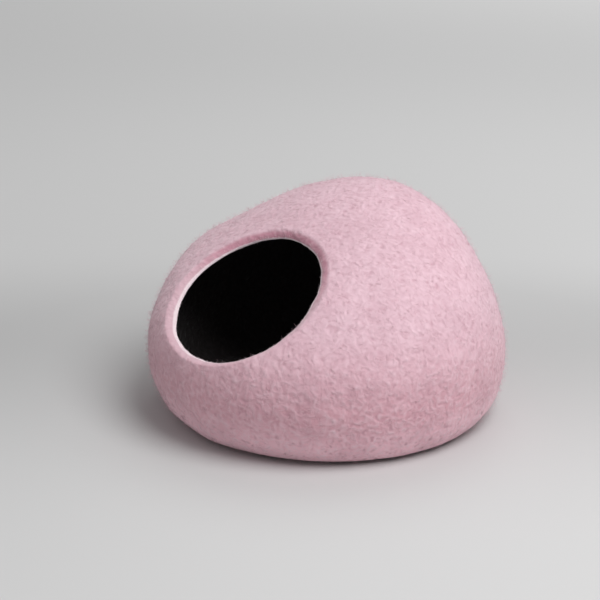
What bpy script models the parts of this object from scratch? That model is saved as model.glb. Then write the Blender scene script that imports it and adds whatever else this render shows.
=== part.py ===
"""Felt cat cave: one shell of thick wet-felted wool with a round mouth.

The cave is a low, lopsided egg that rolls under to a flat base.  Its mouth
faces -Y and tilts up.  Units are metres, +Z is up, and the origin is the
middle of the footprint, on the surface that the base rests on.

The shell is one closed skin.  Spokes run from the mouth down to the base on
the outside, over the rounded lip, and back down to the floor on the inside.
"""

from collections import namedtuple
from math import cos, pi, radians, sin

import bmesh
import bpy
import numpy as np
from mathutils import Vector

# Level sections of the outer form, from the crown down to the base.
Section = namedtuple("Section", "height half_width half_depth centre_x centre_y")
SECTIONS = (
    Section(0.2468, 0.0000, 0.0000, -0.003, 0.077),
    Section(0.2357, 0.0648, 0.0497, -0.005, 0.072),
    Section(0.2049, 0.1287, 0.0999, -0.008, 0.050),
    Section(0.1604, 0.1795, 0.1520, -0.010, 0.020),
    Section(0.1135, 0.1971, 0.1879, -0.002, 0.001),
    Section(0.0691, 0.2000, 0.1995, 0.000, 0.000),
    Section(0.0296, 0.1940, 0.1927, -0.001, 0.003),
    Section(0.0086, 0.1791, 0.1765, 0.001, 0.002),
    Section(0.0030, 0.1705, 0.1660, 0.001, 0.001),
    Section(0.0000, 0.1550, 0.1508, 0.000, -0.001),
)
STEPS_PER_SECTION = 24
FLOOR_DRAW_IN = 0.016       # how far the form would draw in past its base edge

# Hand-worked unevenness: soft swells (+) and dents (-) pushed into the skin.
Swell = namedtuple("Swell", "x y z reach rise")
SWELLS = (
    Swell(-0.132, 0.015, 0.205, 0.035, -0.0020),
    Swell(-0.168, -0.020, 0.170, 0.035, 0.0019),
    Swell(-0.012, -0.172, 0.014, 0.028, 0.0015),
    Swell(0.165, -0.090, 0.090, 0.050, -0.0016),
    Swell(0.100, -0.120, 0.180, 0.045, 0.0014),
    Swell(-0.120, 0.140, 0.110, 0.055, 0.0020),
    Swell(0.060, 0.185, 0.080, 0.050, -0.0018),
)

SWELLS_END = 0.0086         # below this height the unevenness fades to nothing at the base

WALL = 0.009                # thickness of the felt

# The mouth: a slightly oval hole through the wall, tilted up and to the front.
MOUTH_CENTRE = Vector((-0.0146, -0.1144, 0.1563))
MOUTH_TILT = radians(52)    # elevation of the mouth's axis above the horizontal
MOUTH_TURN = radians(26)    # turn of the oval's long way about that axis
MOUTH_HALF_LENGTH = 0.0940
MOUTH_HALF_WIDTH = 0.0895
LIP_START = 0.003           # the lip begins to round this far outside the hole
LIP_SLANT = 0.0035          # the inner skin ends this far inside the hole
LIP_SLANT_ENDS = 0.0055     # and this much further in at the ends of its long way
LIP_OUTER_ROUND = 0.004     # reach of the rounding on the outer side
LIP_INNER_ROUND = 0.004     # reach of the rounding on the inner side

HEART = Vector((0.0, 0.01, 0.105))   # a point inside, seen from all the skin
FAR = 0.30                  # a reach from the heart that is outside everywhere
HALVINGS = 30
PROBE = 0.002               # step used to read the slope of the form

# Mesh density.
SPOKES = 64
OUTER_RINGS = 28
INNER_RINGS = 20
LIP_RINGS = 6
FLOOR_RINGS = 4
CROWDING = 1.25             # above 1 the rings crowd towards the base

FELT_PINK = (0.72, 0.42, 0.50, 1.0)
FELT_ROUGHNESS = 0.95


def blend_rows(before, start, end, after, steps):
    """Catmull-Rom values from start towards end, end left out."""
    t = np.linspace(0.0, 1.0, steps, endpoint=False)[:, None]
    straight = 2 * start + (end - before) * t
    square = (2 * before - 5 * start + 4 * end - after) * t ** 2
    cube = (3 * start - before - 3 * end + after) * t ** 3
    return 0.5 * (straight + square + cube)


def fine_sections():
    """The section table blended to fine steps, listed from the base up."""
    rows = np.array(SECTIONS)
    crown_mirror = rows[1] * (1, -1, -1, 1, 1)
    base_beyond = rows[-1] - (0, FLOOR_DRAW_IN, FLOOR_DRAW_IN, 0, 0)
    padded = np.vstack([crown_mirror, rows, base_beyond])
    spans = [blend_rows(*padded[i:i + 4], STEPS_PER_SECTION) for i in range(len(rows) - 1)]
    return np.vstack(spans + [rows[-1:]])[::-1]


FORM = fine_sections()


def level(points):
    """Below 0 inside the plain form, above 0 outside it."""
    x, y, z = points[..., 0], points[..., 1], points[..., 2]
    half_x, half_y, mid_x, mid_y = (np.interp(z, FORM[:, 0], FORM[:, k]) for k in range(1, 5))
    across = (x - mid_x) / np.maximum(half_x, PROBE)
    along = (y - mid_y) / np.maximum(half_y, PROBE)
    ratio = np.hypot(across, along) - 1.0
    beyond = (z < FORM[0, 0]) | (z > FORM[-1, 0])
    return np.where(beyond, np.maximum(ratio, PROBE), ratio)


def slope(points):
    """Unit vectors that point straight out of the form's side."""
    low, high = FORM[0, 0] + PROBE, FORM[-1, 0] - PROBE
    safe = points.copy()
    safe[:, 2] = np.clip(safe[:, 2], low, high)
    steps = np.eye(3) * PROBE
    rise = np.stack([level(safe + step) - level(safe - step) for step in steps], axis=-1)
    return rise / np.linalg.norm(rise, axis=1, keepdims=True)


def cast(directions):
    """Where rays from the heart leave the form, before any unevenness."""
    heart = np.array(HEART)
    near = np.zeros((len(directions), 1))
    far = np.full((len(directions), 1), FAR)
    for _ in range(HALVINGS):
        middle = (near + far) / 2
        inside = level(heart + directions * middle)[:, None] < 0
        near = np.where(inside, middle, near)
        far = np.where(inside, far, middle)
    return heart + directions * near


def swell(points, normals):
    """Push the soft swells and dents into the skin; the base edge stays put."""
    lift = np.zeros(len(points))
    for bump in SWELLS:
        distance = np.linalg.norm(points - (bump.x, bump.y, bump.z), axis=1)
        lift += bump.rise * np.exp(-(distance / bump.reach) ** 2)
    lift *= np.clip(points[:, 2] / SWELLS_END, 0.0, 1.0)
    return points + normals * lift[:, None]


def spoke_angles():
    """One angle for each spoke, counted from +X in the mouth and the base."""
    return np.arange(SPOKES) * (2 * pi / SPOKES)


def unit(vectors):
    """The vectors at length 1."""
    return vectors / np.linalg.norm(vectors, axis=1, keepdims=True)


def mouth_directions(margin):
    """Directions from the heart to an oval this far outside the mouth's edge."""
    angles = spoke_angles()[:, None] - MOUTH_TURN
    across = Vector((1.0, 0.0, 0.0))
    upward = Vector((0.0, sin(MOUTH_TILT), cos(MOUTH_TILT)))
    long_way = np.array(across * cos(MOUTH_TURN) + upward * sin(MOUTH_TURN))
    short_way = np.array(upward * cos(MOUTH_TURN) - across * sin(MOUTH_TURN))
    along = (MOUTH_HALF_LENGTH + margin) * np.cos(angles) * long_way
    aside = (MOUTH_HALF_WIDTH + margin) * np.sin(angles) * short_way
    return unit(np.array(MOUTH_CENTRE) + along + aside - np.array(HEART))


def base_edge():
    """The outline of the flat base, one point for each spoke."""
    base = SECTIONS[-1]
    angles = spoke_angles()
    x = base.centre_x + base.half_width * np.cos(angles)
    y = base.centre_y + base.half_depth * np.sin(angles)
    return np.column_stack([x, y, np.zeros(SPOKES)])


def skin_ring(margin, progress):
    """One ring of the outer form and its normals.

    progress runs from 0, an oval this margin outside the mouth's edge, to 1,
    the edge of the base, and each spoke turns evenly from one to the other.
    """
    start = mouth_directions(margin)
    end = unit(base_edge() - np.array(HEART))
    turn = np.arccos((start * end).sum(axis=1, keepdims=True))
    swing = np.sin((1 - progress) * turn) * start + np.sin(progress * turn) * end
    points = base_edge() if progress == 1 else cast(unit(swing))
    normals = slope(points)
    return swell(points, normals), normals


def outer_ring(progress):
    """A ring of the outside, from the lip's outer start to the base edge."""
    return skin_ring(LIP_START, progress)[0]


def lip_slant():
    """How far inside the hole the inner skin ends, at each spoke."""
    angles = spoke_angles()[:, None] - MOUTH_TURN
    return LIP_SLANT + LIP_SLANT_ENDS * np.cos(angles) ** 2


def inner_ring(progress):
    """A ring of the inside, one wall thickness in from the outer form."""
    points, normals = skin_ring(-lip_slant(), progress)
    return points - WALL * normals


def lip_ring(progress):
    """A ring of the rounded lip: a curve that leaves both skins smoothly."""
    outer = outer_ring(0.0)
    outer_beyond, _ = skin_ring(LIP_START - LIP_OUTER_ROUND, 0.0)
    inner = inner_ring(0.0)
    ahead, normals = skin_ring(-lip_slant() - LIP_INNER_ROUND, 0.0)
    inner_beyond = ahead - WALL * normals
    left = 1 - progress
    near_outer = left ** 3 * outer + 3 * left ** 2 * progress * outer_beyond
    near_inner = 3 * left * progress ** 2 * inner_beyond + progress ** 3 * inner
    return near_outer + near_inner


def floor_ring(edge, share):
    """The edge ring of a floor drawn in evenly to a share of its size."""
    middle = edge.mean(axis=0)
    return middle + (edge - middle) * share


def ring_plan():
    """All rings in order: under the base, up the outside, in and down."""
    outer_steps = [1 - (1 - i / OUTER_RINGS) ** CROWDING for i in range(OUTER_RINGS + 1)]
    inner_steps = [1 - (1 - i / INNER_RINGS) ** CROWDING for i in range(INNER_RINGS + 1)]
    shares = [(i + 1) / (FLOOR_RINGS + 1) for i in range(FLOOR_RINGS)]
    outside = [outer_ring(step) for step in reversed(outer_steps)]
    inside = [inner_ring(step) for step in inner_steps]
    lip = [lip_ring((i + 1) / (LIP_RINGS + 1)) for i in range(LIP_RINGS)]
    under = [floor_ring(outside[0], share) for share in shares]
    floor = [floor_ring(inside[-1], share) for share in reversed(shares)]
    return under + outside + lip + inside + floor


def felt_shell():
    """The shell's mesh: rings joined by quads, and a fan at each end."""
    bm = bmesh.new()
    plan = ring_plan()
    rings = [[bm.verts.new(point) for point in ring] for ring in plan]
    for lower, upper in zip(rings, rings[1:]):
        for i in range(SPOKES):
            j = (i + 1) % SPOKES
            bm.faces.new((lower[i], lower[j], upper[j], upper[i]))
    for ring, points in ((rings[0], plan[0]), (rings[-1], plan[-1])):
        middle = bm.verts.new(points.mean(axis=0))
        for i in range(SPOKES):
            bm.faces.new((middle, ring[i], ring[(i + 1) % SPOKES]))
    bmesh.ops.recalc_face_normals(bm, faces=bm.faces[:])
    mesh = bpy.data.meshes.new("felt_shell")
    bm.to_mesh(mesh)
    bm.free()
    mesh.shade_smooth()
    return mesh


def felt_material():
    """Matt pink wool felt."""
    material = bpy.data.materials.new("pink_wool_felt")
    material.use_nodes = True
    shader = material.node_tree.nodes["Principled BSDF"]
    shader.inputs["Base Color"].default_value = FELT_PINK
    shader.inputs["Roughness"].default_value = FELT_ROUGHNESS
    shader.inputs["Metallic"].default_value = 0.0
    return material


def main():
    """Clear the file and build the cave."""
    for old in list(bpy.data.objects):
        bpy.data.objects.remove(old, do_unlink=True)
    shell = bpy.data.objects.new("felt_shell", felt_shell())
    shell.data.materials.append(felt_material())
    bpy.context.collection.objects.link(shell)


main()
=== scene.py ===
"""The looks of a felt cat cave: thick pink wool, a rounded lip and a dark inside.

The cave is one shell of wet-felted wool. The form is rebuilt here at a fine
grain over the frame's solid, and the wool, its lip and its loose fibres are
dressed from noise, heights and lip marks; some of the tones are painted shade
and painted light. Units are metres and +Z is up.
"""

from __future__ import annotations

import logging
from dataclasses import dataclass, field
from enum import Enum
from math import cos, pi, radians, sin
from typing import Any

import bpy
import numpy as np
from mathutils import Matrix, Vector, noise
from mathutils.bvhtree import BVHTree

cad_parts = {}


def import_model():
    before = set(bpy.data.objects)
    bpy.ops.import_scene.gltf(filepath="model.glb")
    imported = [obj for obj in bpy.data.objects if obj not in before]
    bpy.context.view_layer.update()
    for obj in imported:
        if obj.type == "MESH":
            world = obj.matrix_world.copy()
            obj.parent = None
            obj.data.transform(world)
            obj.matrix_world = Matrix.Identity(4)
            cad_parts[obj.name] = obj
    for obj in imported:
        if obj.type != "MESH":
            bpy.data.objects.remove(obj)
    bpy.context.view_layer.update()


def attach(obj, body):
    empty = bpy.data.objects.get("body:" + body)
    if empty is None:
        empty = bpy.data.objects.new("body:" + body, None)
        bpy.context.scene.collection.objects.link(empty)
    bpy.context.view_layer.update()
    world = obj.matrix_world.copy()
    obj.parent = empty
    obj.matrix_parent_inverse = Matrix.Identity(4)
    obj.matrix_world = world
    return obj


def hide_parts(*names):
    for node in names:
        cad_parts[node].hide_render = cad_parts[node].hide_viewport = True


LOG = logging.getLogger("felt_cave")

Points = np.ndarray
Colour = tuple[float, float, float]
Place = tuple[float, float, float]
Span = tuple[float, float]
BLACK: Colour = (0.0, 0.0, 0.0)
WHITE: Colour = (1.0, 1.0, 1.0)
UP: Place = (0.0, 0.0, 1.0)
NOISE_MIDDLE = 0.5


def linear(red: int, green: int, blue: int) -> Colour:
    """Scene-linear colour of an 8-bit screen colour.

    Args:
        red: the red level, from 0 to 255.
        green: the green level.
        blue: the blue level.

    Returns:
        The three levels from 0 to 1, without the screen's curve.
    """
    def one(value: int) -> float:
        """One level without the screen's curve."""
        share = value / 255
        return share / 12.92 if share <= 0.04045 else ((share + 0.055) / 1.055) ** 2.4
    return one(red), one(green), one(blue)


# ---------------------------------------------------------------- shader maths


class Wire:
    """A shader socket that Python expressions can use."""

    def __init__(self, paint: Paint, socket: bpy.types.NodeSocket) -> None:
        """Keep the socket and the paint it belongs to."""
        self.paint = paint
        self.socket = socket

    def _maths(self, operation: str, *values: Any) -> Wire:
        """One Math node on numbers or wires."""
        node = self.paint.node("ShaderNodeMath", {"operation": operation}, dict(enumerate(values)))
        return Wire(self.paint, node.outputs[0])

    def __add__(self, other: Any) -> Wire:
        """self + other."""
        return self._maths("ADD", self, other)

    __radd__ = __add__

    def __sub__(self, other: Any) -> Wire:
        """self - other."""
        return self._maths("SUBTRACT", self, other)

    def __rsub__(self, other: Any) -> Wire:
        """other - self."""
        return self._maths("SUBTRACT", other, self)

    def __mul__(self, other: Any) -> Wire:
        """self * other."""
        return self._maths("MULTIPLY", self, other)

    __rmul__ = __mul__

    def __truediv__(self, other: Any) -> Wire:
        """self / other."""
        return self._maths("DIVIDE", self, other)

    def __rtruediv__(self, other: Any) -> Wire:
        """other / self."""
        return self._maths("DIVIDE", other, self)

    def above(self, least: Any) -> Wire:
        """self where it is more than least, and least elsewhere."""
        return self._maths("MAXIMUM", self, least)

    def clamp(self) -> Wire:
        """Hold self between 0 and 1.

        Returns:
            The held value.
        """
        held = self._maths("ADD", self, 0.0)
        held.socket.node.use_clamp = True
        return held

    def ramp(self, low: float, high: float) -> Wire:
        """A smooth step that runs from 0 at low to 1 at high.

        Args:
            low: the value that gives 0.
            high: the value that gives 1; it may be the smaller one.

        Returns:
            The step, held between 0 and 1.
        """
        node = self.paint.node(
            "ShaderNodeMapRange", {"interpolation_type": "SMOOTHSTEP"},
            {"Value": self, "From Min": low, "From Max": high},
        )
        return Wire(self.paint, node.outputs["Result"])


class Paint:
    """One material's node tree and the short ways to add to it."""

    def __init__(self, name: str) -> None:
        """Start a material with a lone Principled shader.

        Args:
            name: the material's name.
        """
        self.material = bpy.data.materials.new(name)
        self.material.use_nodes = True
        self.tree = self.material.node_tree
        self.shader = self.tree.nodes["Principled BSDF"]

    def node(self, kind: str, settings: dict[str, Any], inputs: dict[Any, Any]) -> bpy.types.Node:
        """Add a node, set it up and fill its sockets.

        Args:
            kind: the node's type.
            settings: its properties, set before the sockets.
            inputs: socket name or place to a number, a tuple or a wire.

        Returns:
            The new node.
        """
        made = self.tree.nodes.new(kind)
        for name, value in settings.items():
            setattr(made, name, value)
        for place, value in inputs.items():
            self.feed(made.inputs[place], value)
        return made

    def feed(self, socket: bpy.types.NodeSocket, value: Any) -> None:
        """Link a wire to a socket, or set a plain value on it.

        Args:
            socket: the socket to feed.
            value: a wire, a number or a tuple.
        """
        if isinstance(value, Wire):
            self.tree.links.new(value.socket, socket)
        elif socket.type == "RGBA" and len(value) == 3:
            socket.default_value = (*value, 1.0)
        else:
            socket.default_value = value

    def vector(self, operation: str, inputs: dict[Any, Any], output: str = "Vector") -> Wire:
        """One Vector Math node."""
        node = self.node("ShaderNodeVectorMath", {"operation": operation}, inputs)
        return Wire(self, node.outputs[output])

    def place(self) -> Wire:
        """The point on the surface, in metres."""
        node = self.node("ShaderNodeTexCoord", {}, {})
        return Wire(self, node.outputs["Object"])

    def attribute(self, name: str) -> Wire:
        """A number that the mesh carries at each of its points."""
        node = self.node("ShaderNodeAttribute", {"attribute_name": name}, {})
        return Wire(self, node.outputs["Fac"])

    def along(self, place: Wire, direction: Place) -> Wire:
        """How far the place lies along a direction."""
        return self.vector("DOT_PRODUCT", {0: place, 1: direction}, "Value")

    def reach(self, place: Wire) -> Wire:
        """How far the place lies from the middle."""
        return self.vector("LENGTH", {0: place}, "Value")

    def drawn_out(self, place: Wire, direction: Place, share: float) -> Wire:
        """Squeeze a place along a direction, so that noise on it draws out into streaks.

        Args:
            place: the place to squeeze.
            direction: a unit direction.
            share: what is left of the place's reach along that direction.

        Returns:
            The squeezed place.
        """
        pull = self.along(place, direction) * (share - 1)
        moved = self.vector("SCALE", {0: direction, "Scale": pull})
        return self.vector("ADD", {0: place, 1: moved})

    def cloud(
        self, place: Wire, per_metre: float, detail: float = 2.0, rough: float = 0.5,
    ) -> Wire:
        """Soft noise.

        Args:
            place: where on the noise the surface lies.
            per_metre: about how many lumps there are in a metre.
            detail: how many finer layers are added.
            rough: how strong the finer layers are.

        Returns:
            The noise, from 0 to 1.
        """
        node = self.node(
            "ShaderNodeTexNoise", {"noise_dimensions": "3D"},
            {"Vector": place, "Scale": per_metre, "Detail": detail, "Roughness": rough},
        )
        return Wire(self, node.outputs["Fac"])

    def bent(self, place: Wire, per_metre: float, reach: float, detail: float = 1.0) -> Wire:
        """Push a place about, so that what is drawn on it curls.

        Args:
            place: the place to push.
            per_metre: about how many pushes there are in a metre.
            reach: how far the place is pushed at most.
            detail: how many finer pushes are added.

        Returns:
            The pushed place.
        """
        drift = self.node(
            "ShaderNodeTexNoise", {"noise_dimensions": "3D"},
            {"Vector": place, "Scale": per_metre, "Detail": detail},
        )
        colour = Wire(self, drift.outputs["Color"])
        centred = self.vector("SUBTRACT", {0: colour, 1: (NOISE_MIDDLE,) * 3})
        moved = self.vector("SCALE", {0: centred, "Scale": 2 * reach})
        return self.vector("ADD", {0: place, 1: moved})

    def mix(self, share: Any, first: Any, second: Any) -> Wire:
        """The colour first where share is 0, and second where it is 1."""
        node = self.node("ShaderNodeMix", {"data_type": "RGBA"}, {0: share, 6: first, 7: second})
        return Wire(self, node.outputs[2])

    def grey(self, level: Any) -> Wire:
        """A grey of this level."""
        return self.mix(level, BLACK, WHITE)

    def bump(self, height: Wire, distance: float) -> Wire:
        """A normal that stands for height times distance."""
        inputs = {"Height": height, "Distance": distance, "Strength": 1.0}
        return Wire(self, self.node("ShaderNodeBump", {}, inputs).outputs["Normal"])

    def finish(self, **sockets: Any) -> bpy.types.Material:
        """Fill the Principled shader's sockets.

        Args:
            **sockets: a value or a wire for each socket, named with _ for a space.

        Returns:
            The finished material.
        """
        for name, value in sockets.items():
            self.feed(self.shader.inputs[name.replace("_", " ")], value)
        return self.material


# -------------------------------------------------------------------- the form


@dataclass(frozen=True)
class Section:
    """A level oval cut through the outer form."""

    height: float
    half_width: float
    half_depth: float
    centre_x: float
    centre_y: float


@dataclass(frozen=True)
class Swell:
    """A soft swell, or a dent where rise is negative."""

    x: float
    y: float
    z: float
    reach: float
    rise: float


@dataclass(frozen=True)
class Mouth:
    """The slightly oval hole, tilted up and to the front."""

    centre: Place = (-0.0146, -0.1144, 0.1563)
    tilt: float = radians(52)
    turn: float = radians(26)
    half_length: float = 0.0940
    half_width: float = 0.0895

    def rim(self, angles: Points, margin: Any) -> Points:
        """An oval around the mouth.

        Args:
            angles: one angle for each spoke.
            margin: how far outside the mouth's edge, everywhere or at each spoke.

        Returns:
            One point for each spoke.
        """
        across = np.array((1.0, 0.0, 0.0))
        upward = np.array((0.0, sin(self.tilt), cos(self.tilt)))
        long_way = across * cos(self.turn) + upward * sin(self.turn)
        short_way = upward * cos(self.turn) - across * sin(self.turn)
        along = (self.half_length + margin) * np.cos(angles - self.turn)[:, None] * long_way
        aside = (self.half_width + margin) * np.sin(angles - self.turn)[:, None] * short_way
        return np.array(self.centre) + along + aside


def unit(vectors: Points) -> Points:
    """The vectors at length 1."""
    return vectors / np.linalg.norm(vectors, axis=1, keepdims=True)


@dataclass
class CaveForm:
    """The smooth outer form: level ovals from the crown down to the flat base.

    Its surface is found by rays from the heart, a point well inside it.
    """

    sections: tuple[Section, ...] = (
        Section(0.2468, 0.0000, 0.0000, -0.003, 0.077),
        Section(0.2357, 0.0648, 0.0497, -0.005, 0.072),
        Section(0.2049, 0.1287, 0.0999, -0.008, 0.050),
        Section(0.1604, 0.1795, 0.1520, -0.010, 0.020),
        Section(0.1135, 0.1971, 0.1879, -0.002, 0.001),
        Section(0.0691, 0.2000, 0.1995, 0.000, 0.000),
        Section(0.0296, 0.1940, 0.1927, -0.001, 0.003),
        Section(0.0086, 0.1791, 0.1765, 0.001, 0.002),
        Section(0.0030, 0.1705, 0.1660, 0.001, 0.001),
        Section(0.0000, 0.1550, 0.1508, 0.000, -0.001),
    )
    swells_end: float = 0.0086
    swells: tuple[Swell, ...] = (
        Swell(-0.132, 0.015, 0.205, 0.035, -0.0020),
        Swell(-0.168, -0.020, 0.170, 0.035, 0.0019),
        Swell(-0.012, -0.172, 0.014, 0.028, 0.0015),
        Swell(0.165, -0.090, 0.090, 0.050, -0.0016),
        Swell(0.100, -0.120, 0.180, 0.045, 0.0014),
        Swell(-0.120, 0.140, 0.110, 0.055, 0.0020),
        Swell(0.060, 0.185, 0.080, 0.050, -0.0018),
    )
    mouth: Mouth = field(default_factory=Mouth)
    heart: Place = (0.0, 0.01, 0.105)
    steps: int = 48
    floor_draw_in: float = 0.016
    probe: float = 0.002
    far: float = 0.30
    halvings: int = 30
    fine: Points = field(init=False, repr=False)

    def __post_init__(self) -> None:
        """Blend the section table to fine steps, from the base up."""
        rows = np.array([
            (s.height, s.half_width, s.half_depth, s.centre_x, s.centre_y) for s in self.sections
        ])
        crown_mirror = rows[1] * (1, -1, -1, 1, 1)
        base_beyond = rows[-1] - (0, self.floor_draw_in, self.floor_draw_in, 0, 0)
        padded = np.vstack([crown_mirror, rows, base_beyond])
        spans = [self.blended(*padded[i:i + 4]) for i in range(len(rows) - 1)]
        self.fine = np.vstack(spans + [rows[-1:]])[::-1]

    def blended(self, before: Points, start: Points, end: Points, after: Points) -> Points:
        """Catmull-Rom rows from one row of the table to the next.

        Args:
            before: the row before start.
            start: the row that the blend leaves.
            end: the row that it runs to.
            after: the row after end.

        Returns:
            The fine rows, with end left out.
        """
        t = np.linspace(0.0, 1.0, self.steps, endpoint=False)[:, None]
        straight = 2 * start + (end - before) * t
        square = (2 * before - 5 * start + 4 * end - after) * t ** 2
        cube = (3 * start - before - 3 * end + after) * t ** 3
        return 0.5 * (straight + square + cube)

    def level(self, points: Points) -> Points:
        """Which side of the plain form points lie on.

        Args:
            points: the points to test.

        Returns:
            A number for each point, below 0 inside the form and above 0 outside it.
        """
        z = points[..., 2]
        half_x, half_y, mid_x, mid_y = (
            np.interp(z, self.fine[:, 0], self.fine[:, k]) for k in range(1, 5)
        )
        across = (points[..., 0] - mid_x) / np.maximum(half_x, self.probe)
        along = (points[..., 1] - mid_y) / np.maximum(half_y, self.probe)
        ratio = np.hypot(across, along) - 1.0
        beyond = (z < self.fine[0, 0]) | (z > self.fine[-1, 0])
        return np.where(beyond, np.maximum(ratio, self.probe), ratio)

    def slope(self, points: Points) -> Points:
        """The form's normals.

        Args:
            points: places on or near the form.

        Returns:
            Unit vectors that point straight out of the form's side.
        """
        safe = points.copy()
        low, high = self.fine[0, 0] + self.probe, self.fine[-1, 0] - self.probe
        safe[:, 2] = np.clip(safe[:, 2], low, high)
        steps = np.eye(3) * self.probe
        rise = [self.level(safe + step) - self.level(safe - step) for step in steps]
        return unit(np.stack(rise, axis=-1))

    def cast(self, directions: Points) -> Points:
        """Where rays from the heart leave the plain form.

        Args:
            directions: one unit vector for each ray.

        Returns:
            One point for each ray, found by halving.
        """
        heart = np.array(self.heart)
        near = np.zeros((len(directions), 1))
        far = np.full((len(directions), 1), self.far)
        for _ in range(self.halvings):
            middle = (near + far) / 2
            inside = self.level(heart + directions * middle)[:, None] < 0
            near = np.where(inside, middle, near)
            far = np.where(inside, far, middle)
        return heart + directions * near

    def worked(self, points: Points, normals: Points) -> Points:
        """Push the hand-worked swells and dents in.

        Args:
            points: places on the plain form.
            normals: the form's normals there.

        Returns:
            The moved points.
        """
        lift = np.zeros(len(points))
        for bump in self.swells:
            distance = np.linalg.norm(points - (bump.x, bump.y, bump.z), axis=1)
            lift += bump.rise * np.exp(-(distance / bump.reach) ** 2)
        lift *= np.clip(points[:, 2] / self.swells_end, 0.0, 1.0)
        return points + normals * lift[:, None]

    def base_edge(self, angles: Points) -> Points:
        """The outline of the flat base.

        Args:
            angles: one angle for each spoke.

        Returns:
            One point for each spoke.
        """
        base = self.sections[-1]
        x = base.centre_x + base.half_width * np.cos(angles)
        y = base.centre_y + base.half_depth * np.sin(angles)
        return np.column_stack([x, y, np.zeros(len(angles))])

    def ring(self, angles: Points, margin: Any, progress: float) -> tuple[Points, Points]:
        """One ring of the outer form.

        Args:
            angles: one angle for each spoke.
            margin: how far outside the mouth's edge the spokes start.
            progress: 0 at that start and 1 at the edge of the base.

        Returns:
            The ring's points and the form's normals there.
        """
        heart = np.array(self.heart)
        start = unit(self.mouth.rim(angles, margin) - heart)
        end = unit(self.base_edge(angles) - heart)
        turn = np.arccos((start * end).sum(axis=1, keepdims=True))
        swing = np.sin((1 - progress) * turn) * start + np.sin(progress * turn) * end
        points = self.base_edge(angles) if progress == 1 else self.cast(unit(swing))
        normals = self.slope(points)
        return self.worked(points, normals), normals


# ------------------------------------------------------------------ the finish


WOOL_SHINE: dict[str, float] = {
    "Sheen_Weight": 0.25, "Sheen_Roughness": 0.5, "Specular_IOR_Level": 0.15,
}


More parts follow.
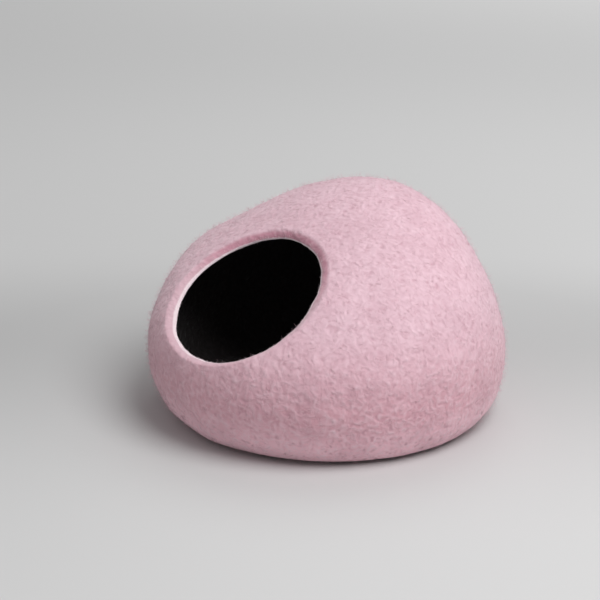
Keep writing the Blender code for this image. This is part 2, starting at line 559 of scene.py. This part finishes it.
@dataclass(frozen=True)
class WoolFelt:
    """Wet-felted wool: crimped fibres, pink outside, pale at the cut edge and dark inside.

    A band is a span of heights above the floor, of noise or of lip marks, over
    which a tone comes in. Lip marks run from 0 outside to 1 at the lip's inner
    end, and on past 1 down the inside. A share says how much of a tone is laid on.
    """

    name: str = "pink_wool_felt"
    pink: Colour = linear(219, 184, 195)
    pale: Colour = linear(240, 209, 219)
    # rose: slow blotches of deeper wool, and painted shade in the hollows between fibres
    rose: Colour = linear(190, 145, 158)
    # painted shade: a deeper pink laid on the lower sides
    low_shaded_pink: Colour = linear(219, 163, 175)
    # painted light: a paler pink near the base, standing for light bounced up off the floor
    bounce_lit_pink: Colour = linear(252, 204, 216)
    # the cut face's rose colour, laid rosier on the upper lip as painted shade
    cut: Colour = linear(205, 145, 162)
    # painted light: the paler cut face of the lower lip
    cut_lit_low: Colour = linear(216, 180, 190)
    fringe: Colour = linear(241, 222, 227)
    # painted shade: dark wine on the lowest millimetres, where the base meets the floor
    contact_shade: Colour = linear(108, 40, 54)
    inside: Colour = linear(48, 43, 43)
    inside_pale: Colour = linear(74, 70, 72)
    grains: tuple[Place, ...] = (
        (1.0, 0.2, 0.1), (-0.3, 1.0, 0.3), (0.2, -0.3, 1.0), (0.7, 0.7, -0.6), (-0.7, 0.4, 0.8),
    )
    curls: tuple[Span, ...] = ((60.0, 0.004), (160.0, 0.0010))
    crimp: float = 240.0
    crimp_detail: float = 0.4
    drawn: float = 0.50
    strand_band: Span = (0.30, 0.90)
    strand_share: float = 0.35
    strand_least: float = 0.05
    lumps_per_metre: float = 105.0
    grain_per_metre: float = 1300.0
    grain_detail: float = 2.0
    grain_rough: float = 0.6
    drift_per_metre: float = 26.0
    light_start: float = 0.35
    light_grain: float = 0.1
    light_grain_middle: float = 0.4
    gap_lump_band: Span = (0.56, 0.30)
    gap_strand_band: Span = (0.70, 0.10)
    drift_band: Span = (0.35, 0.75)
    low_band: Span = (0.155, 0.045)
    base_band: Span = (0.066, 0.014)
    contact_shade_band: Span = (0.0068, 0.0022)
    upper_band: Span = (0.145, 0.190)
    low_share: float = 0.85
    base_share: float = 0.92
    contact_shade_share: float = 0.85
    pale_share: float = 0.6
    pale_more_low: float = 0.16
    pale_more_base: float = 0.22
    gap_share: float = 0.60
    gap_more_base: float = 0.38
    drift_share: float = 0.20
    drift_more_low: float = 0.10
    edge_light: float = 0.5
    lip_waver: float = 0.12
    cut_band: Span = (0.06, 0.36)
    fringe_band: Span = (0.50, 0.62)
    fringe_later: float = 0.10
    inside_band: Span = (1.28, 1.50)
    relief: float = 0.0013
    relief_lumps: float = 1.05
    relief_strands: float = 0.46
    relief_grain: float = 0.03
    relief_more_low: float = 0.32
    roughness: float = 0.95

    def streaks(self, paint: Paint, place: Wire) -> Wire:
        """Short crimped fibres that lie every way.

        Args:
            paint: the material they are drawn in.
            place: the place they are drawn on.

        Returns:
            About 0 between the fibres, and 1 or more on top of them.
        """
        strands: list[Wire] = []
        for grain in self.grains:
            direction = tuple(Vector(grain).normalized())
            drawn = paint.drawn_out(place, direction, self.drawn)
            strand = paint.cloud(drawn, self.crimp, self.crimp_detail)
            strands.append(strand.ramp(*self.strand_band))
        return self.strand_share * sum(strands) + self.strand_least

    def outside(self, paint: Paint, height: Wire, drift: Wire, light: Wire, gaps: Wire) -> Wire:
        """The colour of the outside.

        Args:
            paint: the material.
            height: how high the place lies.
            drift: slow noise.
            light: 1 on top of the palest fibres, which the bump raises; the pale laid there is
                partly fibre tone and partly painted highlight.
            gaps: 1 in the hollows between fibres, where rose is laid on as painted shade.

        Returns:
            The colour, with painted contact shade where the base turns under.
        """
        low = height.ramp(*self.low_band)
        base = height.ramp(*self.base_band)
        # painted light and shade: pale flecks, hollows and rose blotches are laid on more strongly
        # low down, standing for light raking over the lower sides
        pale_share = self.pale_share + self.pale_more_low * low + self.pale_more_base * base
        gap_share = self.gap_share + self.gap_more_base * base
        drift_share = self.drift_share + self.drift_more_low * low
        # painted shade: the pink deepens towards the bottom
        colour = paint.mix(low * self.low_share, self.pink, self.low_shaded_pink)
        # painted light: paler near the base, as if lit from the floor
        colour = paint.mix(base * self.base_share, colour, self.bounce_lit_pink)
        colour = paint.mix(light * pale_share, colour, self.pale)
        # painted shade: rose in the hollows between the raised fibres
        colour = paint.mix(gaps * gap_share, colour, self.rose)
        colour = paint.mix(drift.ramp(*self.drift_band) * drift_share, colour, self.rose)
        # painted contact shade along the floor
        return paint.mix(height.ramp(*self.contact_shade_band) * self.contact_shade_share, colour, self.contact_shade)

    def edged(self, paint: Paint, colour: Wire, height: Wire, lumps: Wire, light: Wire) -> Wire:
        """Lay the cut lip, its pale strip and the dark inside over the outside's colour.

        Args:
            paint: the material.
            colour: the outside's colour.
            height: how high the place lies.
            lumps: the felt's lumps, which make the lip's tones waver.
            light: 1 on top of the palest fibres; partly fibre tone and partly painted highlight.

        Returns:
            The colour of the whole skin.
        """
        lip = paint.attribute("lip") + (lumps - NOISE_MIDDLE) * self.lip_waver
        upper = height.ramp(*self.upper_band)
        thin_light = light * self.edge_light
        # painted light and shade: the cut face is paler on the lower lip and rosier on the upper
        # lip
        cut = paint.mix(thin_light, paint.mix(upper, self.cut_lit_low, self.cut), self.pink)
        inside = paint.mix(thin_light, self.inside, self.inside_pale)
        fringe = (lip - self.fringe_later * upper).ramp(*self.fringe_band)
        colour = paint.mix(lip.ramp(*self.cut_band), colour, cut)
        colour = paint.mix(fringe, colour, self.fringe)
        return paint.mix(lip.ramp(*self.inside_band), colour, inside)

    def material(self) -> bpy.types.Material:
        """Build the felt's material.

        Returns:
            The material, for the whole skin.
        """
        paint = Paint(self.name)
        place = paint.place()
        curled = place
        for per_metre, reach in self.curls:
            curled = paint.bent(curled, per_metre, reach)
        streaks = self.streaks(paint, curled)
        lumps = paint.cloud(curled, self.lumps_per_metre)
        grain = paint.cloud(place, self.grain_per_metre, self.grain_detail, self.grain_rough)
        drift = paint.cloud(place, self.drift_per_metre)
        height = paint.along(place, UP)
        speckle = self.light_grain * (grain - self.light_grain_middle)
        # pale fibre flecks on the raised fibres: partly fibre tone, partly painted highlight
        light = (streaks - self.light_start + speckle).clamp()
        # painted shade mask: the hollows between the raised fibres
        gaps = lumps.ramp(*self.gap_lump_band) * streaks.ramp(*self.gap_strand_band)
        colour = self.outside(paint, height, drift, light, gaps)
        relief = (
            self.relief_lumps * lumps + self.relief_strands * streaks + self.relief_grain * grain
        ) * (1 + self.relief_more_low * height.ramp(*self.low_band))
        return paint.finish(
            Base_Color=self.edged(paint, colour, height, lumps, light),
            Roughness=self.roughness,
            Normal=paint.bump(relief, self.relief),
            **WOOL_SHINE,
        )


class Tint(Enum):
    """The tints of the loose fibres."""

    PINK = linear(228, 193, 203)
    PALE = linear(238, 210, 219)
    ROSE = linear(205, 163, 175)
    WHITE = linear(242, 224, 229)


@dataclass(frozen=True)
class LooseWool:
    """Single fibres of the same wool, each too thin to carry more than one tint."""

    tint: Tint
    roughness: float = 0.9

    def material(self) -> bpy.types.Material:
        """Build the fibre's material.

        Returns:
            The material, in this tint.
        """
        paint = Paint(f"{self.tint.name.lower()}_wool_fibre")
        return paint.finish(Base_Color=self.tint.value, Roughness=self.roughness, **WOOL_SHINE)


# --------------------------------------------------------------------- pieces


def placed(name: str, data: bpy.types.ID) -> bpy.types.Object:
    """Put a new object in the scene.

    Args:
        name: the object's name.
        data: the mesh, lamp or camera that it shows.

    Returns:
        The object.
    """
    made = bpy.data.objects.new(name, data)
    bpy.context.collection.objects.link(made)
    return made


@dataclass
class FeltShell:
    """The cave itself: outside, rounded lip, inside and both floors, in one skin."""

    form: CaveForm
    felt: WoolFelt = field(default_factory=WoolFelt)
    wall: float = 0.009
    lip_start: float = 0.003
    lip_slant: float = 0.0035
    lip_slant_ends: float = 0.0055
    lip_outer_round: float = 0.0042
    lip_inner_round: float = 0.0035
    lip_wander: float = 0.0012
    wander_waves: tuple[Span, ...] = ((3.2, 1.0), (11.0, 0.4))
    outer_wander_seed: float = 2.0
    inner_wander_seed: float = 7.0
    spokes: int = 360
    outer_rings: int = 140
    inner_rings: int = 46
    lip_rings: int = 16
    floor_rings: int = 8
    crowding: float = 1.2
    inner_length: float = 30.0
    lumps: tuple[Span, ...] = ((0.040, 0.0009), (0.016, 0.0005), (0.008, 0.00022))
    lumps_end: float = 0.012
    flat_width: float = 0.60
    flat_length: float = 0.62

    def angles(self) -> Points:
        """One angle for each spoke, counted from +X."""
        return np.arange(self.spokes) * (2 * pi / self.spokes)

    def wander(self, seed: float) -> Points:
        """How far a hand-cut edge strays.

        Args:
            seed: where in the noise the edge is taken.

        Returns:
            One distance for each spoke.
        """
        return self.lip_wander * np.array([
            sum(
                weight * noise.noise(Vector((wave * cos(a), wave * sin(a), seed)))
                for wave, weight in self.wander_waves
            )
            for a in self.angles()
        ])[:, None]

    def outer(self, progress: float, ahead: float = 0.0) -> tuple[Points, Points]:
        """A ring of the outside and its normals."""
        margin = self.lip_start - ahead + self.wander(self.outer_wander_seed)
        return self.form.ring(self.angles(), margin, progress)

    def inner(self, progress: float, ahead: float = 0.0) -> tuple[Points, Points]:
        """A ring of the inside.

        Args:
            progress: 0 at the lip and 1 at the edge of the floor.
            ahead: how much further into the mouth the ring starts.

        Returns:
            The ring's points and its normals, which point into the hollow.
        """
        ends = np.cos(self.angles() - self.form.mouth.turn)[:, None] ** 2
        slant = self.lip_slant + self.lip_slant_ends * ends
        margin = -slant - ahead + self.wander(self.inner_wander_seed)
        points, normals = self.form.ring(self.angles(), margin, progress)
        return points - self.wall * normals, -normals

    def lip(self, progress: float) -> Points:
        """A ring of the lip, on curves that leave both skins smoothly.

        Args:
            progress: 0 at the outside and 1 at the inside.

        Returns:
            The ring's points.
        """
        outer, _ = self.outer(0.0)
        outer_ahead, _ = self.outer(0.0, self.lip_outer_round)
        inner, _ = self.inner(0.0)
        inner_ahead, _ = self.inner(0.0, self.lip_inner_round)
        left = 1 - progress
        near_outer = left ** 3 * outer + 3 * left ** 2 * progress * outer_ahead
        return near_outer + 3 * left * progress ** 2 * inner_ahead + progress ** 3 * inner

    def floor_ring(self, edge: Points, share: float) -> Points:
        """The edge of a floor drawn in evenly to a share of its size."""
        middle = edge.mean(axis=0)
        return middle + (edge - middle) * share

    def crowded(self, count: int) -> list[float]:
        """Steps from 0 to 1 that crowd towards 1."""
        return [1 - (1 - i / count) ** self.crowding for i in range(count + 1)]

    def rings(self) -> tuple[list[Points], list[float]]:
        """All rings, from under the base, up the outside, over the lip and down to the floor.

        Returns:
            The rings and a lip mark for each.
        """
        outer_steps = self.crowded(self.outer_rings)
        inner_steps = self.crowded(self.inner_rings)
        shares = [(i + 1) / (self.floor_rings + 1) for i in range(self.floor_rings)]
        outside = [self.outer(step)[0] for step in reversed(outer_steps)]
        inside = [self.inner(step)[0] for step in inner_steps]
        through = [(i + 1) / (self.lip_rings + 1) for i in range(self.lip_rings)]
        lip = [self.lip(step) for step in through]
        under = [self.floor_ring(outside[0], share) for share in shares]
        floor = [self.floor_ring(inside[-1], share) for share in reversed(shares)]
        deeper = [1.0 + self.inner_length * step for step in inner_steps]
        deepest = [1.0 + self.inner_length] * len(floor)
        marks = [0.0] * (len(under) + len(outside)) + through + deeper + deepest
        return under + outside + lip + inside + floor, marks

    def mesh(self) -> bpy.types.Mesh:
        """Quads between the rings, and a fan at each end.

        Returns:
            The skin, with its lip marks.
        """
        rings, marks = self.rings()
        count, spokes = len(rings), self.spokes
        middles = [rings[0].mean(axis=0)[None], rings[-1].mean(axis=0)[None]]
        points = np.vstack(rings + middles)
        first = np.arange(count * spokes).reshape(count, spokes)
        following = np.roll(first, -1, axis=1)
        quads = np.stack([first[:-1], first[1:], following[1:], following[:-1]], axis=-1)
        quads = quads.reshape(-1, 4)
        start = [(count * spokes, a, b) for a, b in zip(first[0], following[0])]
        end = [(count * spokes + 1, b, a) for a, b in zip(first[-1], following[-1])]
        mesh = bpy.data.meshes.new("felt_shell_skin")
        mesh.from_pydata(points.tolist(), [], quads[:, ::-1].tolist() + start + end)
        mesh.attributes.new("lip", "FLOAT", "POINT").data.foreach_set(
            "value", np.append(np.repeat(marks, spokes), (marks[0], marks[-1])),
        )
        mesh.validate()
        mesh.shade_smooth()
        return mesh

    def unevenness(self, mesh: bpy.types.Mesh) -> None:
        """Push the felt's own lumps into the mesh, fading to nothing at the base.

        Args:
            mesh: the skin.
        """
        count = len(mesh.vertices)
        places = np.empty(count * 3)
        normals = np.empty(count * 3)
        mesh.vertices.foreach_get("co", places)
        mesh.vertex_normals.foreach_get("vector", normals)
        places, normals = places.reshape(-1, 3), normals.reshape(-1, 3)
        lift = np.zeros(count)
        for size, rise in self.lumps:
            lift += rise * np.array([noise.noise(Vector(p) / size) for p in places])
        lift *= np.clip(places[:, 2] / self.lumps_end, 0.0, 1.0)
        mesh.vertices.foreach_set("co", (places + normals * lift[:, None]).ravel())
        mesh.update()

    def build(self) -> bpy.types.Object:
        """Make the shell and put it in place of the plain solid.

        Returns:
            The shell.
        """
        mesh = self.mesh()
        self.unevenness(mesh)
        shell = placed("felt_shell_skin", mesh)
        mesh.materials.append(self.felt.material())
        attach(shell, "root")
        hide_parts("felt_shell")
        return shell


@dataclass
class Fibres:
    """A joined mesh of loose fibres that curl over the felt, each a closed thin tube.

    They start where the skin's lip mark lies in the span marks. The share of them
    in flyaway lift their free ends off; the others arch and end in the felt.
    """

    name: str
    tint: Tint
    count: int
    seed: int
    length: Span
    lift: Span
    marks: Span = (0.0, 0.0)
    flyaway: float = 0.0
    radius: float = 0.00014
    rings: int = 5
    sides: int = 3
    curl: float = 120.0
    jitter: float = 0.25
    free_rise: float = 2.2
    free_sweep: float = 1.5
    taper: float = 0.55
    rooted: float = 0.0003
    least_height: float = 0.0006
    askew: Place = (0.31, 0.43, 0.85)

    def roots(self, shell: bpy.types.Object, rng: np.random.Generator) -> tuple[Points, Points]:
        """Random places on the part of the skin whose lip mark is in range.

        Args:
            shell: the skin.
            rng: the source of chance.

        Returns:
            The places and the skin's normals there.
        """
        mesh = shell.data
        faces = len(mesh.polygons)
        area = np.empty(faces)
        normals = np.empty(faces * 3)
        centres = np.empty(faces * 3)
        mesh.polygons.foreach_get("area", area)
        mesh.polygons.foreach_get("normal", normals)
        mesh.polygons.foreach_get("center", centres)
        normals, centres = normals.reshape(-1, 3), centres.reshape(-1, 3)
        marks = np.empty(len(mesh.vertices))
        mesh.attributes["lip"].data.foreach_get("value", marks)
        mark = np.array([marks[face.vertices[0]] for face in mesh.polygons])
        low, high = self.marks
        chosen = (mark >= low) & (mark <= high) & (centres[:, 2] > self.least_height)
        weight = area * chosen
        picks = rng.choice(faces, size=self.count, p=weight / weight.sum())
        spread = np.sqrt(area[picks])[:, None] * rng.uniform(-0.5, 0.5, (self.count, 3))
        spread -= (spread * normals[picks]).sum(1, keepdims=True) * normals[picks]
        return centres[picks] + spread, normals[picks]

    def lines(self, shell: bpy.types.Object, skin: BVHTree, rng: np.random.Generator) -> Points:
        """Lay each fibre on the skin and lift it off.

        Args:
            shell: the skin.
            skin: the same skin, ready for the nearest place to be looked up.
            rng: the source of chance.

        Returns:
            The points along each fibre.
        """
        place, normal = self.roots(shell, rng)
        heading = unit(np.cross(normal, rng.normal(size=(self.count, 3))))
        step = rng.uniform(*self.length, (self.count, 1)) / (self.rings - 1)
        bend = rng.normal(0.0, self.curl, (self.count, 1)) * step
        lift = rng.uniform(*self.lift, (self.count, 1))
        free = rng.random((self.count, 1)) < self.flyaway
        points = []
        for ring in range(self.rings):
            share = ring / (self.rings - 1)
            swept = share ** self.free_sweep * self.free_rise
            arch = np.where(free, swept, 4 * share * (1 - share))
            sunk = self.rooted * (1 - share) * 2
            height = lift * arch - sunk + np.where(free, 0.0, -self.rooted * share)
            laid = place + normal * height
            laid[:, 2] = np.maximum(laid[:, 2], self.least_height)
            points.append(laid)
            turn = bend + rng.normal(0.0, self.jitter, (self.count, 1))
            heading = unit(heading * np.cos(turn) + np.cross(normal, heading) * np.sin(turn))
            onward = place + heading * step
            found = [skin.find_nearest(Vector(point)) for point in onward]
            place = np.array([hit[0] for hit in found])
            normal = np.array([hit[1] for hit in found])
        return np.stack(points, axis=1)

    def mesh(self, lines: Points) -> bpy.types.Mesh:
        """Thin closed tubes along the lines.

        Args:
            lines: the points along each fibre.

        Returns:
            All the tubes in one mesh.
        """
        count, rings, _ = lines.shape
        forward = np.gradient(lines, axis=1)
        forward /= np.linalg.norm(forward, axis=2, keepdims=True)
        side = np.cross(forward, self.askew)
        side /= np.linalg.norm(side, axis=2, keepdims=True)
        other = np.cross(forward, side)
        thinning = 1 - self.taper * np.linspace(0.0, 1.0, rings) ** 2
        thickness = self.radius * thinning[None, :, None]
        edges = []
        for corner in range(self.sides):
            angle = 2 * pi * corner / self.sides
            edges.append(lines + thickness * (cos(angle) * side + sin(angle) * other))
        points = np.stack(edges, axis=2).reshape(-1, 3)
        first = np.arange(count * rings * self.sides).reshape(count, rings, self.sides)
        following = np.roll(first, -1, axis=2)
        quads = np.stack(
            [first[:, :-1], following[:, :-1], following[:, 1:], first[:, 1:]], axis=-1,
        )
        caps = np.concatenate([first[:, 0, ::-1], first[:, -1]])
        mesh = bpy.data.meshes.new(self.name)
        mesh.from_pydata(points.tolist(), [], quads.reshape(-1, 4).tolist() + caps.tolist())
        mesh.shade_smooth()
        return mesh

    def build(self, shell: bpy.types.Object, skin: BVHTree) -> bpy.types.Object:
        """Make the fibres and fix them to the shell.

        Args:
            shell: the skin they lie on.
            skin: the same skin, ready for the nearest place to be looked up.

        Returns:
            The fibres.
        """
        rng = np.random.default_rng(self.seed)
        mesh = self.mesh(self.lines(shell, skin, rng))
        fibres = placed(self.name, mesh)
        mesh.materials.append(LooseWool(self.tint).material())
        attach(fibres, "root")
        return fibres


@dataclass
class Nap:
    """All the loose fibres of the cave, in one mesh for each tint and place."""

    sorts: tuple[Fibres, ...] = (
        Fibres("pink_nap", Tint.PINK, 4600, 11, (0.006, 0.014), (0.0003, 0.0010), flyaway=0.12),
        Fibres("pale_nap", Tint.PALE, 4400, 12, (0.004, 0.012), (0.0003, 0.0011), flyaway=0.12),
        Fibres("rose_nap", Tint.ROSE, 2600, 13, (0.005, 0.012), (0.0002, 0.0007)),
        Fibres(
            "fuzz", Tint.PINK, 9200, 15, (0.004, 0.008), (0.0012, 0.0030),
            flyaway=1.0, radius=0.00009, rings=4,
        ),
        Fibres(
            "lip_nap", Tint.WHITE, 1800, 14, (0.002, 0.004), (0.0003, 0.0008),
            marks=(0.50, 1.15), flyaway=0.3, radius=0.00012,
        ),
    )

    def build(self, shell: bpy.types.Object) -> list[bpy.types.Object]:
        """Make each sort of fibre.

        Args:
            shell: the skin they lie on.

        Returns:
            The pieces.
        """
        points = [vertex.co for vertex in shell.data.vertices]
        faces = [tuple(face.vertices) for face in shell.data.polygons]
        skin = BVHTree.FromPolygons(points, faces)
        return [sort.build(shell, skin) for sort in self.sorts]


# --------------------------------------------------------------------- studio


@dataclass(frozen=True)
class SoftBox:
    """A round soft light that looks at the cave."""

    name: str
    azimuth: float
    elevation: float
    distance: float
    size: float
    power: float


def outward(azimuth: float, elevation: float) -> Vector:
    """From the cave towards a viewer at this azimuth and elevation, in degrees."""
    a, e = radians(azimuth), radians(elevation)
    return Vector((sin(a) * cos(e), -cos(a) * cos(e), sin(e)))


def aim(thing: bpy.types.Object, point: Vector) -> None:
    """Turn a camera or a lamp to look at a point."""
    thing.rotation_euler = (point - thing.location).to_track_quat("-Z", "Y").to_euler()


@dataclass
class Studio:
    """A pale floor, soft lights and the camera.

    The floor's tones run along a fixed direction, far_side, in degrees.
    """

    target: Place = (-0.0036, 0.0100, 0.1200)
    azimuth: float = 40.0
    elevation: float = 18.0
    distance: float = 1.6
    pixels_per_metre: float = 888.0
    pixels_across: int = 600
    sensor: float = 36.0
    aim_left: float = 0.0339
    floor_reach: float = 14.0
    floor_grey: float = 0.635
    floor_roughness: float = 0.9
    floor_specular: float = 0.1
    far_side: float = 40.0
    floor_shade_dip: float = 0.19
    dip_start: Span = (-0.35, 0.2)
    dip_end: Span = (0.64, 0.18)
    glow_start: float = 0.5
    glow_half: float = 3.2
    glow_most: float = 0.60
    glow_slant: float = 0.19
    world_grey: float = 0.34
    lights: tuple[SoftBox, ...] = (
        SoftBox("key_light", 86.0, 56.0, 2.2, 1.5, 37.2),
        SoftBox("back_light", 200.0, 56.0, 2.2, 1.5, 8.0),
    )

    def camera(self) -> None:
        """The camera, aimed a little left of the cave's middle."""
        data = bpy.data.cameras.new("camera")
        focal_pixels = self.pixels_per_metre * self.distance
        data.sensor_width = self.sensor
        data.lens = focal_pixels / self.pixels_across * self.sensor
        back = outward(self.azimuth, self.elevation)
        right = Vector((cos(radians(self.azimuth)), sin(radians(self.azimuth)), 0.0))
        target = Vector(self.target)
        camera = placed("camera", data)
        camera.location = target + back * self.distance
        aim(camera, target - right * self.aim_left)
        bpy.context.scene.camera = camera

    def floor(self) -> None:
        """A wide pale floor: painted shade makes it a little darker just beyond the cave, and
        painted light makes it glow further off.
        """
        mesh = bpy.data.meshes.new("studio_floor")
        reach = self.floor_reach
        near = [(-reach, -reach, 0.0), (reach, -reach, 0.0)]
        far = [(reach, reach, 0.0), (-reach, reach, 0.0)]
        mesh.from_pydata(near + far, [], [(0, 1, 2, 3)])
        floor = placed("studio_floor", mesh)
        paint = Paint("studio_floor")
        place = paint.place()
        behind = paint.along(place, tuple(-outward(self.far_side, 0.0)))
        aside = paint.along(place, tuple(outward(self.far_side + 90.0, 0.0)))
        # painted shade: a darker band on the floor just beyond the cave
        dip = behind.ramp(*self.dip_start) * behind.ramp(*self.dip_end)
        tone = self.floor_grey * (1 - self.floor_shade_dip * dip)
        # painted light: the floor glows, brighter further off, though it is no lamp
        beyond = (paint.reach(place) - self.glow_start).above(0.0)
        glow = self.glow_most * (1 + self.glow_slant * aside) * beyond / (beyond + self.glow_half)
        mesh.materials.append(paint.finish(
            Base_Color=paint.grey(tone),
            Emission_Color=paint.grey(glow),
            Emission_Strength=1.0,
            Roughness=self.floor_roughness,
            Specular_IOR_Level=self.floor_specular,
        ))

    def light(self, box: SoftBox) -> None:
        """Hang one soft light.

        Args:
            box: the light.
        """
        data = bpy.data.lights.new(box.name, "AREA")
        data.shape = "DISK"
        data.size = box.size
        data.energy = box.power
        lamp = placed(box.name, data)
        lamp.location = Vector(self.target) + outward(box.azimuth, box.elevation) * box.distance
        aim(lamp, Vector(self.target))

    def world(self) -> None:
        """An even pale surround."""
        world = bpy.data.worlds.new("surround")
        world.use_nodes = True
        grey = (self.world_grey, self.world_grey, self.world_grey, 1.0)
        world.node_tree.nodes["Background"].inputs["Color"].default_value = grey
        bpy.context.scene.world = world

    def build(self) -> None:
        """Set the whole stage."""
        self.camera()
        self.floor()
        self.world()
        for box in self.lights:
            self.light(box)
        bpy.context.scene.view_settings.view_transform = "Standard"


def main() -> None:
    """Load the frame, set the stage, build the cave and its fibres, and log each piece's face
    count.
    """
    logging.basicConfig(level=logging.INFO, format="%(message)s")
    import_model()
    Studio().build()
    cave = FeltShell(CaveForm())
    shell = cave.build()
    nap = Nap().build(shell)
    for piece in (shell, *nap):
        LOG.info("%s: %d faces", piece.name, len(piece.data.polygons))


if __name__ == "__main__":
    main()
